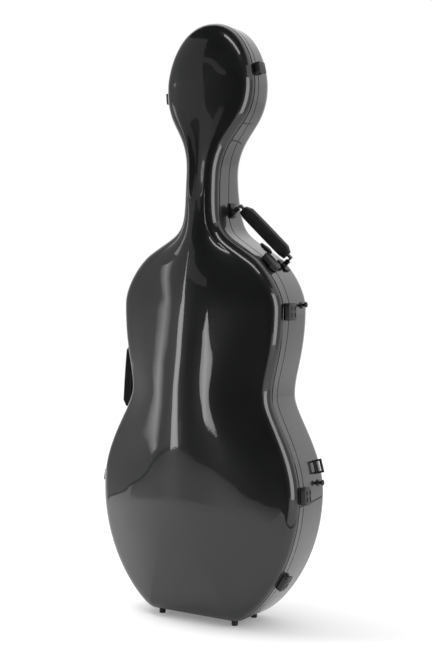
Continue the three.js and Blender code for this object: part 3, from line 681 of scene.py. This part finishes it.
def steel_material(name, dark, light, roughness):
    """Bare or coated steel with a fine drawn grain and a little wear in its gloss."""
    material, shader, place = surface(name)
    drawn = node(place.id_data, "ShaderNodeMapping", {"Vector": place, "Scale": (900, 900, 60)})
    set_inputs(shader, {
        "Base Color": mottled(place, 60, dark, light), "Metallic": 0.85,
        "Normal": grain(drawn.outputs["Vector"], 1, 0.25, 0.00004),
        "Roughness": varied(place, 140, 4, roughness - 0.1, roughness + 0.12)})
    return material


black_steel = steel_material("black_coated_steel", (0.018, 0.018, 0.02), (0.045, 0.045, 0.048),
                             0.36)
grey_steel = steel_material("grey_steel", (0.16, 0.162, 0.168), (0.3, 0.302, 0.31), 0.3)


def welded(name):
    """A welded copy of a CAD node's mesh with its flat faces whole."""
    built = bmesh.new()
    built.from_mesh(nodes[name].data)
    bmesh.ops.remove_doubles(built, verts=built.verts, dist=node_weld)
    bmesh.ops.dissolve_limit(built, angle_limit=flat_angle, verts=built.verts, edges=built.edges)
    bmesh.ops.recalc_face_normals(built, faces=built.faces)
    return built


def rounded(built, geometry, width, segments, affect="EDGES"):
    bmesh.ops.bevel(built, geom=geometry, offset=width, affect=affect, segments=segments,
                    profile=0.5, material=-1, clamp_overlap=True)


def refined(name, piece, material, width, limit=50, segments=2):
    """A CAD node's own form with its edges rounded where they turn by more than the limit."""
    built = welded(name)
    edges = [edge for edge in built.edges
             if len(edge.link_faces) == 2 and edge.calc_face_angle(0) > math.radians(limit)]
    rounded(built, edges, width, segments)
    bmesh.ops.remove_doubles(built, verts=built.verts, dist=bevel_weld)
    finished(piece, built, nodes[name]["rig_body"], material, replaced=(name,))


def wall_frame(joint, side, out=0.0, back=0.0):
    """Matrix of a fitting on a side wall: X out of the wall, Y to the back, Z along the wall. out
    and back are where its joint lies."""
    pivot = Vector(joints[joint]["pos_m"])
    backward = Vector((0, 1, 0))
    outward = backward.cross(Vector(joints[joint]["axis"])).normalized()
    if outward.x * side < 0:
        outward = -outward
    turned = Matrix((outward, backward, outward.cross(backward))).transposed()
    return Matrix.Translation(pivot - outward * out - backward * back) @ turned.to_4x4()


def spun(built, place, axis, profile, sides):
    """A round piece spun about an axis from a profile of radius and height."""
    axis = Vector(axis).normalized()
    side = axis.orthogonal().normalized()
    line = [built.verts.new(place + side * radius + axis * height) for radius, height in profile]
    edges = [built.edges.new(pair) for pair in zip(line, line[1:])]
    bmesh.ops.spin(built, geom=line + edges, cent=place, axis=axis, angle=math.tau, steps=sides,
                   use_merge=True, use_duplicate=False)
    bmesh.ops.remove_doubles(built, verts=built.verts, dist=turned_weld)


def dome(built, centre, normal, radius, rise):
    """A low round head, as of a rivet or a screw, sunk a little into what it sits on."""
    turns = [math.pi / 2 * k / head_rings for k in range(head_rings + 1)]
    profile = [(radius, -rise * head_sunk_share)]
    profile += [(radius * math.cos(turn), rise * math.sin(turn)) for turn in turns]
    spun(built, centre, normal, profile, head_sides)


def add_hinges():
    frame_of = wall_frame("lid_hinge", -1)
    outward, backward, along = (frame_of.col[k].to_3d() for k in range(3))
    knuckle = Vector(joints["lid_hinge"]["pos_m"])
    surface_out = hinge_leaf_back + hinge_leaf_thickness
    for place in ("upper", "lower"):
        for leaf, way in (("base", 1), ("lid", -1)):
            name = place + "_hinge_" + leaf
            refined(name + "_leaf", name + "_leaf_piece", grey_steel, hinge_edge)
            low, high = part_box(name + "_leaf")
            middle = knuckle + along * ((low + high) / 2 - knuckle).dot(along)
            built = bmesh.new()
            for step in (-1, 0, 1):
                back = hinge_leaf_middle - (0 if step else hinge_rivet_set_in)
                centre = middle + backward * way * back + outward * surface_out
                dome(built, centre + along * step * hinge_rivet_apart, outward, rivet_radius,
                     rivet_rise)
            finished(name + "_rivets", built, leaf, grey_steel)


add_hinges()

# Latches
# Six lever latches of black glass-filled nylon. A keeper sits on the lid's band. A plate, screwed
# to the base's wall, carries a lever that swings off to the back on a steel pin.

latch_clearance = 0.0003
latch_seam = 0.0015
latch_plate = 0.0026
latch_barrel = 0.003
latch_ear = 0.0026
latch_ear_share = 0.85
latch_barrel_play = 0.0033
latch_barrel_back = 0.0006
latch_barrel_corner = 0.0004
latch_lever_edge = 0.0011
latch_fine_edge = 0.0005
slight_edge = 0.0003
main_latch = {"length": 0.038, "front": 0.018, "back": 0.011, "wall": 0.005, "thick": 0.0036,
              "corner": 0.006, "grooves": True}
head_latch = {**main_latch, "length": 0.025, "front": 0.013, "back": 0.016, "wall": 0.004,
              "thick": 0.0046, "corner": 0.0035, "grooves": False}
latches = {"corner": {**main_latch, "front": 0.012, "back": 0.017}, "lower": main_latch,
           "upper": {**main_latch, "front": 0.023},
           "shoulder": {**main_latch, "length": 0.046, "corner": 0.013, "grooves": False},
           "head": head_latch, "left_head": head_latch}
groove_width = 0.0046
groove_length = 0.010
groove_depth = 0.0016
groove_reach = 0.01
groove_corner = 0.0012
groove_apart = 0.014
groove_between = 0.015
panel_front = 0.0035
panel_back = 0.004
panel_share = 0.6
panel_corner = 0.002
panel_rise = 0.0002
panel_sunk = 0.0004
bar_sides = 20
corner_segments = 6
edge_segments = 3
pin_radius = 0.0014
pin_rise = 0.0005
screw_rise = 0.0004
screw_set_in = 0.0021
screw_from_end = 0.0024
pin_proud = 0.0001
past_all = 1
nylon = moulded_material("black_nylon", (0.009, 0.009, 0.0095), (0.018, 0.018, 0.019), 0.4)


def rounded_slab(built, back_range, along_range, corner, out_range, edge, keep=None):
    """A slab on a wall with rounded corners and edges. keep is the stretch of Y left of it."""
    (y0, y1), (z0, z1), (x0, x1) = back_range, along_range, out_range
    verts = [built.verts.new((x0, y, z)) for y, z in ((y0, z0), (y1, z0), (y1, z1), (y0, z1))]
    face = built.faces.new(verts)
    before = set(built.faces) - {face}
    if corner:
        rounded(built, verts, corner, corner_segments, "VERTICES")
    fresh = [f for f in built.faces if f not in before]
    for limit, way in ((keep[0], -1), (keep[1], 1)) if keep else ():
        parts = {v for f in fresh for v in f.verts} | {e for f in fresh for e in f.edges}
        bmesh.ops.bisect_plane(built, geom=list(parts | set(fresh)), dist=0.000001,
                               plane_co=(0, limit, 0), plane_no=(0, way, 0), clear_outer=True)
        fresh = [f for f in built.faces if f not in before]
    drawn = bmesh.ops.extrude_face_region(built, geom=fresh)["geom"]
    raised = of_kind(drawn, bmesh.types.BMVert)
    bmesh.ops.translate(built, verts=raised, vec=(x1 - x0, 0, 0))
    if edge:
        rims = {e for f in of_kind(drawn, bmesh.types.BMFace) for e in f.edges}
        rounded(built, list(rims), edge, edge_segments)


def bar_along(built, radius, half, middle):
    """A round bar along Z with softened ends."""
    made = bmesh.ops.create_cone(built, cap_ends=True, segments=bar_sides, radius1=radius,
                                 radius2=radius, depth=2 * half,
                                 matrix=Matrix.Translation((*middle, 0)))["verts"]
    rims = {e for v in made for e in v.link_edges
            if abs(e.verts[0].co.z - e.verts[1].co.z) < half}
    rounded(built, list(rims), slight_edge, 2)


def stand_in(built):
    """An unfinished block as an object, for modifiers to work on."""
    bmesh.ops.recalc_face_normals(built, faces=built.faces)
    mesh = bpy.data.meshes.new("block")
    built.to_mesh(mesh)
    built.free()
    return new_object("block", mesh)


def worked(block, *tools):
    """A block's mesh after its modifiers, with the block and its tools taken away."""
    bpy.context.view_layer.update()
    evaluated = block.evaluated_get(bpy.context.evaluated_depsgraph_get())
    result = bmesh.new()
    result.from_mesh(bpy.data.meshes.new_from_object(evaluated))
    for used in (block, *tools):
        bpy.data.objects.remove(used)
    return result


def carved(built, tools):
    """A bmesh with other closed bmeshes cut out of it."""
    block, cutter = stand_in(built), stand_in(tools)
    cut = block.modifiers.new("cut", "BOOLEAN")
    cut.object, cut.operation, cut.solver = cutter, "DIFFERENCE", "EXACT"
    result = worked(block, cutter)
    bmesh.ops.remove_doubles(result, verts=result.verts, dist=turned_weld)
    return result


def latch_pieces(name, size):
    side = -1 if name == "left_head" else 1
    out = latch_plate + latch_clearance + latch_barrel
    back = size["back"] - latch_barrel
    matrix = wall_frame(name + "_latch", side, out, back)
    half = size["length"] / 2
    under = out + latch_ear + latch_clearance
    top = under + size["thick"]
    whole = (-size["front"], size["back"])
    along = (-half, half)
    ears = half - latch_ear_share * size["corner"]
    ridge = size["wall"] - size["front"]

    def fitted(piece, built, body, slot, material, replaced=()):
        bmesh.ops.transform(built, matrix=matrix, verts=built.verts)
        finished(name + piece, built, body, material, replaced=replaced)

    keeper = bmesh.new()
    for limit, height in ((-latch_seam, latch_plate), (ridge, top)):
        rounded_slab(keeper, whole, along, size["corner"], (0, height), latch_fine_edge,
                     keep=(whole[0] - past_all, limit))
    fitted("_latch_catch", keeper, "lid", "hardware", nylon, (name + "_latch_keeper",))
    refined(name + "_latch_plate", name + "_latch_seat", nylon, slight_edge)

    lever = bmesh.new()
    rounded_slab(lever, whole, along, size["corner"], (under, top), latch_lever_edge,
                 keep=(ridge + latch_clearance, whole[1] + past_all))
    if size["grooves"]:
        tools = bmesh.new()
        middle = (whole[1] + ridge) / 2
        for way in (-1, 1):
            for step in (-1, 1):
                y, z = middle + way * groove_between / 2, step * groove_apart / 2
                rounded_slab(tools, (y - groove_width / 2, y + groove_width / 2),
                             (z - groove_length / 2, z + groove_length / 2), groove_corner,
                             (top - groove_depth, top + groove_reach), 0)
        lever = carved(lever, tools)
    else:
        rounded_slab(lever, (ridge + panel_front, whole[1] - panel_back),
                     (-half * panel_share, half * panel_share), panel_corner,
                     (top - panel_sunk, top + panel_rise), slight_edge)
    fitted("_latch_grip", lever, name + "_lever", "hardware", nylon, (name + "_latch_lever",))

    barrel = bmesh.new()
    inner = ears - latch_barrel_play
    bar_along(barrel, latch_barrel, inner, (out, back))
    rounded_slab(barrel, (back - latch_barrel, whole[1] - latch_barrel_back), (-inner, inner),
                 latch_barrel_corner, (out, under + size["thick"] / 2), 0)
    fitted("_latch_barrel", barrel, name + "_lever", "hardware", nylon)

    pin = bmesh.new()
    for way in (-1, 1):
        dome(pin, Vector((out, back, way * (ears + pin_proud))), (0, 0, way), pin_radius, pin_rise)
        screw_z = way * (half - size["corner"] / 2 - screw_from_end)
        screw = Vector((latch_plate - pin_proud, whole[1] - screw_set_in, screw_z))
        dome(pin, screw, (1, 0, 0), pin_radius, screw_rise)
    fitted("_latch_pin", pin, "base", "steel", black_steel)


for latch_name, latch_size in latches.items():
    latch_pieces(latch_name, latch_size)

# Carrying handles
# A bent steel strip swings in two forked brackets on the wall. Round it goes a padded grip of
# leatherette, folded over a foam core and sewn down both edges, with its ends drawn in.

grip_thickness = 0.028
grip_depth = 0.031
grip_set_in = 0.010
grip_end_share = 0.66
grip_end_lip = (0.0008, 0.70)
grip_edge_steps = ((-0.0015, 0.965), (-0.0004, 0.99), (0.001, 1.0))
grip_corner_share = 1 / 2.6
grip_corner_segments = 7
grip_swell = 0.022
grip_steps = 12
grip_cap = {"thickness": 0.0022, "depth": -0.0012}
handle_rise = 0.015
bracket_edge = 0.0005
stitch_pitch = 0.0042
stitch_length = 0.0027
stitch_radius = 0.00045
stitch_tilt = 0.12
stitch_share = 0.28
seam_width = 0.0012
seam_shares = (0.34, 0.31)
grip_sides = {"shoulder": 1, "waist": -1}


def leatherette_material():
    """Black leatherette with fine pores and soft creases."""
    material, shader, place = surface("grip_leatherette")
    cells = node(place.id_data, "ShaderNodeTexVoronoi", {"Vector": place, "Scale": 620},
                 feature="DISTANCE_TO_EDGE").outputs["Distance"]
    pores = node(place.id_data, "ShaderNodeMapRange", {"Value": cells, "From Max": 0.12})
    creased = grain(place, 70, 0.5, 0.0007)
    set_inputs(shader, {
        "Base Color": mottled(place, 45, (0.008, 0.008, 0.009), (0.018, 0.018, 0.019)),
        "Normal": relief(pores.outputs["Result"], 0.6, 0.00018, creased), "Roughness": 0.5})
    return material


def thread_material():
    material, shader, place = surface("black_thread")
    set_inputs(shader, {
        "Base Color": mottled(place, 900, (0.02, 0.02, 0.021), (0.05, 0.05, 0.053)),
        "Normal": grain(place, 2600, 0.8, 0.0002), "Roughness": 0.7})
    return material


leatherette = leatherette_material()
thread = thread_material()


def handle_matrix(name):
    """X out of the wall, Y to the back and Z from bracket to bracket, at the middle of the swinging
    axis, with half the span between the brackets."""
    joint = joints[name + "_handle_swing"]
    along = Vector(joint["axis"]).normalized()
    outward = Vector((0, 1, 0)).cross(along).normalized()
    if outward.x * grip_sides[name] < 0:
        outward = -outward
    if along.z < 0:
        along = -along
    backward = along.cross(outward).normalized()
    if backward.y < 0:
        backward, along = -backward, -along
    pivot = Vector(joint["pos_m"])
    reach = []
    for place in ("lower", "upper"):
        low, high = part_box(name + "_handle_" + place + "_bracket")
        reach.append(((low + high) / 2 - pivot).dot(along))
    turned = Matrix((outward, backward, along)).transposed().to_4x4()
    middle = pivot + along * sum(reach) / 2
    return Matrix.Translation(middle) @ turned, abs(reach[1] - reach[0]) / 2


def grip_middle(share):
    return handle_rise - grip_thickness * (1 - share) / 4


def swelling(share):
    return 1 + grip_swell * math.sin(math.pi * share)


def grip_cover(last, shoulder):
    """The padded cover, drawn out from one end to the other in steps of Z and share of size."""
    built = bmesh.new()
    share = grip_end_share
    thickness, depth = grip_thickness * share, grip_depth * share
    corners = [built.verts.new((grip_middle(share) + dx * thickness / 2, dy * depth / 2, -last))
               for dx, dy in ((-1, -1), (1, -1), (1, 1), (-1, 1))]
    built.faces.new(corners)
    rounded(built, corners, thickness * grip_corner_share, grip_corner_segments, "VERTICES")
    face = built.faces[:][0]
    ends = [(grip_end_lip[0] - last, grip_end_lip[1])]
    ends += [(z - shoulder, share) for z, share in grip_edge_steps]
    steps = ends + [(shoulder * (2 * k / grip_steps - 1), swelling(k / grip_steps))
                    for k in range(1, grip_steps)]
    steps += [(-z, share) for z, share in reversed(ends)] + [(last, grip_end_share)]
    at, now = -last, grip_end_share
    for z, share in steps:
        drawn = bmesh.ops.extrude_face_region(built, geom=[face])["geom"]
        face = of_kind(drawn, bmesh.types.BMFace)[0]
        for vert in face.verts:
            vert.co.x = grip_middle(share) + (vert.co.x - grip_middle(now)) * share / now
            vert.co.y *= share / now
            vert.co.z += z - at
        at, now = z, share
    for cap in [f for f in built.faces if len(f.verts) > 4]:
        bmesh.ops.inset_region(built, faces=[cap], **grip_cap)
    return built


def grip_stitches(shoulder):
    sewn = bmesh.new()
    count = int(2 * shoulder / stitch_pitch)
    size = Matrix.Diagonal((stitch_radius, stitch_radius, stitch_length / 2, 1))
    for way in (-1, 1):
        tilt = Matrix.Rotation(way * stitch_tilt, 4, "X")
        for k in range(count + 1):
            y = way * grip_depth / 2 * swelling(k / count)
            z = shoulder * (2 * k / count - 1)
            place = Matrix.Translation((handle_rise - grip_thickness * stitch_share, y, z))
            made = bmesh.ops.create_icosphere(sewn, subdivisions=1, radius=1)["verts"]
            bmesh.ops.transform(sewn, matrix=place @ tilt @ size, verts=made)
    return sewn


def grip_folds(shoulder):
    folds = bmesh.new()
    low, high = (handle_rise - grip_thickness * share for share in seam_shares)
    for way in (-1, 1):
        y = way * grip_depth / 2
        rounded_slab(folds, (y - seam_width / 2, y + seam_width / 2), (-shoulder, shoulder), 0,
                     (low, high), slight_edge)
    return folds


def add_grip(name):
    matrix, span = handle_matrix(name)
    last = span - grip_set_in
    shoulder = last - grip_thickness / 2
    body = name + "_handle"

    def fitted(piece, built, material, replaced=()):
        bmesh.ops.transform(built, matrix=matrix, verts=built.verts)
        return finished(body + piece, built, body, material, replaced=replaced)

    grip = fitted("_cover", grip_cover(last, shoulder), leatherette, (body + "_grip",))
    fitted("_stitches", grip_stitches(shoulder), thread)
    fitted("_seam", grip_folds(shoulder), leatherette)
    for node_name, piece in (("_core", "_strip"), ("_lower_bracket", "_lower_fork"),
                             ("_upper_bracket", "_upper_fork")):
        refined(body + node_name, body + piece, black_steel, bracket_edge)


for grip_name in grip_sides:
    add_grip(grip_name)

# Bumper and feet
# A moulded rubber bumper on the right shoulder takes the weight when the case is laid on its side.
# Four rubber feet stand under the bottom, two on each half, and keep the lacquer off the floor.

bumper_middle = (0.1043, 0.0607, 0.8391)
bumper_along = (0.0403, -0.0232, -0.0249)
bumper_seen_from = (0.03, 0, 0.05)
bumper_seen_along = (-0.53, 0, -0.85)
bumper_half_length = 0.0245
bumper_half_width = 0.0088
bumper_rise = 0.0042
bumper_sides = 40
bumper_hover = 0.02
bumper_shares = ((0.4, -0.4), (1.0, -0.4), (1.0, 0.0), (0.985, 0.35), (0.92, 0.68), (0.8, 0.88),
                 (0.6, 0.97), (0.55, 0.86), (0.3, 0.88), (0.0, 0.9))
foot_edge = 0.0012


def add_bumper():
    bpy.context.view_layer.update()
    start = Vector(bumper_middle) + Vector((centre_x, 0, 0)) + Vector(bumper_seen_from)
    seat, out = base_skin.ray_cast(start, Vector(bumper_seen_along))[1:3]
    along = Vector(bumper_along)
    along = (along - out * along.dot(out)).normalized()
    across = out.cross(along)

    def on_shell(u, v, rise):
        start = seat + along * u + across * v + out * bumper_hover
        place, normal = base_skin.ray_cast(start, -out)[1:3]
        return place + normal * rise

    turns = [math.tau * k / bumper_sides for k in range(bumper_sides)]
    rings = [[on_shell(bumper_half_length * reach * math.cos(turn),
                       bumper_half_width * reach * math.sin(turn), bumper_rise * rise)
              for turn in turns] for reach, rise in bumper_shares]
    rings.insert(0, [sum(rings[0], Vector()) / bumper_sides] * bumper_sides)
    finished("shoulder_bumper", skin_mesh(rings), "base", rubber)


add_bumper()
for foot_name in ("lid_foot_left", "lid_foot_right", "base_foot_left", "base_foot_right"):
    refined(foot_name, foot_name + "_rubber", rubber, foot_edge, limit=35, segments=3)

# Strap posts and strap eyes
# Turned steel knobs, screwed into the side walls, and welded steel eyes between them, all coated
# black, for the carrying straps. Each post has a flange, a waist and a round head with a dimple.

post_profile = ((0, 0), (0.0075, 0), (0.0075, 0.0018), (0.0069, 0.0025), (0.0044, 0.0026),
                (0.0037, 0.0033), (0.0034, 0.0046), (0.0034, 0.0098), (0.0039, 0.0108),
                (0.0056, 0.0111), (0.0062, 0.0117), (0.0062, 0.0136), (0.0058, 0.0144),
                (0.0046, 0.0150), (0.0016, 0.0150), (0.0011, 0.0143), (0, 0.0143))
posts = {"upper": ((0.199536, 0.0495, 0.714052), (0.984877, 0, 0.173253)),
         "lower": ((0.247985, 0.0615, 0.325032), (0.994337, 0, 0.106273))}
post_sides = 28
eye_edge = 0.0009

for way, side in (("left", -1), ("right", 1)):
    for place, ((out, back, height), normal) in posts.items():
        post = bmesh.new()
        spun(post, Vector((centre_x + side * out, back, height)), (side * normal[0], 0, normal[2]),
             post_profile, post_sides)
        finished(place + "_strap_knob_" + way, post, "base", black_steel,
                 replaced=(place + "_strap_post_" + way,))
    refined("strap_eye_" + way, "strap_loop_" + way, black_steel, eye_edge, segments=3)

# Neck cradle, pads and neck strap
# The cello's neck lies in a foam cradle and its bouts against shaped pads, cut from firm foam and
# covered in grey velour, with a piping sewn round each front. A web strap closes over the neck.

pad_voxel = 0.0025
pad_rounds = 14
piping_radius = 0.0014
piping_pitch = 0.003
piping_sides = 8
piping_proud_share = 0.5
front_facing = 0.95
front_area_share = 0.3
ease_factor = 0.5
strap_edge = 0.0005
velour = plush_material("grey_velour", (0.04, 0.041, 0.047), (0.07, 0.071, 0.081))


def webbing_material():
    """Woven webbing, with ribs along it and across it."""
    material, shader, place = surface("black_webbing")
    ribs = []
    for way, scale in (("Z", 240), ("X", 160)):
        inputs = {"Vector": place, "Scale": scale, "Distortion": 0.6}
        rib = node(place.id_data, "ShaderNodeTexWave", inputs, bands_direction=way)
        ribs.append(rib.outputs["Fac"])
    fibres = grain(place, 1500, 0.6, 0.0002)
    set_inputs(shader, {
        "Base Color": mottled(place, 300, (0.009, 0.009, 0.01), (0.024, 0.024, 0.027)),
        "Normal": relief(times(*ribs), 0.9, 0.0005, fibres),
        "Roughness": 0.85, "Sheen Weight": 0.3, "Sheen Roughness": 0.4})
    return material


webbing = webbing_material()


def softened(built, voxel, rounds):
    """A block redrawn in small even facets with every edge rolled over, as foam under cloth."""
    block = stand_in(built)
    even = block.modifiers.new("even", "REMESH")
    even.mode, even.voxel_size = "VOXEL", voxel
    ease = block.modifiers.new("ease", "SMOOTH")
    ease.factor, ease.iterations = ease_factor, rounds
    return worked(block)


def even_loop(points):
    """A closed line of points at an even pitch with its corners eased."""
    found = []
    for start, end in zip(points, points[1:] + points[:1]):
        count = max(1, round((end - start).length / piping_pitch))
        found += [start.lerp(end, k / count) for k in range(count)]
    return evened(evened(found, 1), 1)


def add_piping(name, loops, normal, cover, body):
    """A round piping sewn along closed lines on a cover."""
    bpy.context.view_layer.update()
    built = bmesh.new()
    turns = [math.tau * k / piping_sides for k in range(piping_sides)]
    for points in loops:
        seated = []
        for point in even_loop(points):
            place, out = cover.closest_point_on_mesh(point)[1:3]
            seated.append(place + out * piping_radius * piping_proud_share)
        seated = evened(evened(seated, 1), 1)
        rings = []
        for i, place in enumerate(seated):
            heading = (seated[(i + 1) % len(seated)] - seated[i - 1]).normalized()
            side = heading.cross(normal).normalized()
            up = side.cross(heading)
            rings.append([place + (side * math.cos(turn) + up * math.sin(turn)) * piping_radius
                          for turn in turns])
        part = skin_mesh(rings + rings[:1])
        mesh = bpy.data.meshes.new("piping_part")
        part.to_mesh(mesh)
        part.free()
        built.from_mesh(mesh)
        bpy.data.meshes.remove(mesh)
    finished(name, built, body, binding_cloth)


def cushion(name, body, voxel=pad_voxel, rounds=pad_rounds, facing=(0, -1, 0)):
    """A covered foam piece for a CAD block, with piping round its largest faces of one facing."""
    facing = Vector(facing)
    built = welded(name)
    fronts = [face for face in built.faces if face.normal.dot(facing) > front_facing]
    largest = max(face.calc_area() for face in fronts)
    loops = [[vert.co.copy() for vert in face.verts] for face in fronts
             if face.calc_area() > largest * front_area_share]
    cover = finished(name + "_cover", softened(built, voxel, rounds), body, velour,
                     replaced=(name,))
    add_piping(name + "_piping", loops, facing, cover, body)


cushion("neck_cradle", "base")
for way in ("left", "right"):
    cushion("lower_pad_" + way, "base")
    cushion("shoulder_pad_" + way, "base")
refined("neck_strap", "neck_strap_webbing", webbing, strap_edge, limit=60)

# Endpin block
# A moulded rubber block at the bottom takes the cello's endpin. A groove in it holds the ferrule,
# and it is glued through the lining.

block_edge = 0.0022
refined("endpin_block", "endpin_rest", rubber, block_edge, limit=60, segments=4)

# Bow holders
# Each bow's tip goes up into a sewn pocket of padded velour in the lid. Its stick lies in a slot of
# a nylon block, and a tongue turns a quarter over it on a post.

pocket_voxel = 0.0014
pocket_rounds = 6
clip_edge = 0.0009

for way in ("left", "right"):
    cushion("bow_tip_pocket_" + way, "lid", pocket_voxel, pocket_rounds, (0, 0, -1))
    for node_name, piece in (("bow_clip_base_", "bow_block_"), ("bow_clip_", "bow_tongue_")):
        refined(node_name + way, piece + way, nylon, clip_edge, limit=60)

# Accessory box
# A moulded nylon box behind the head, for rosin and strings. Its door folds down on a pin along
# its lower edge, and a small knob opens it.

box_edge = 0.0009
for node_name, piece in (("accessory_box", "box_tray"), ("accessory_box_door", "box_flap")):
    refined(node_name, piece, nylon, box_edge, limit=60)
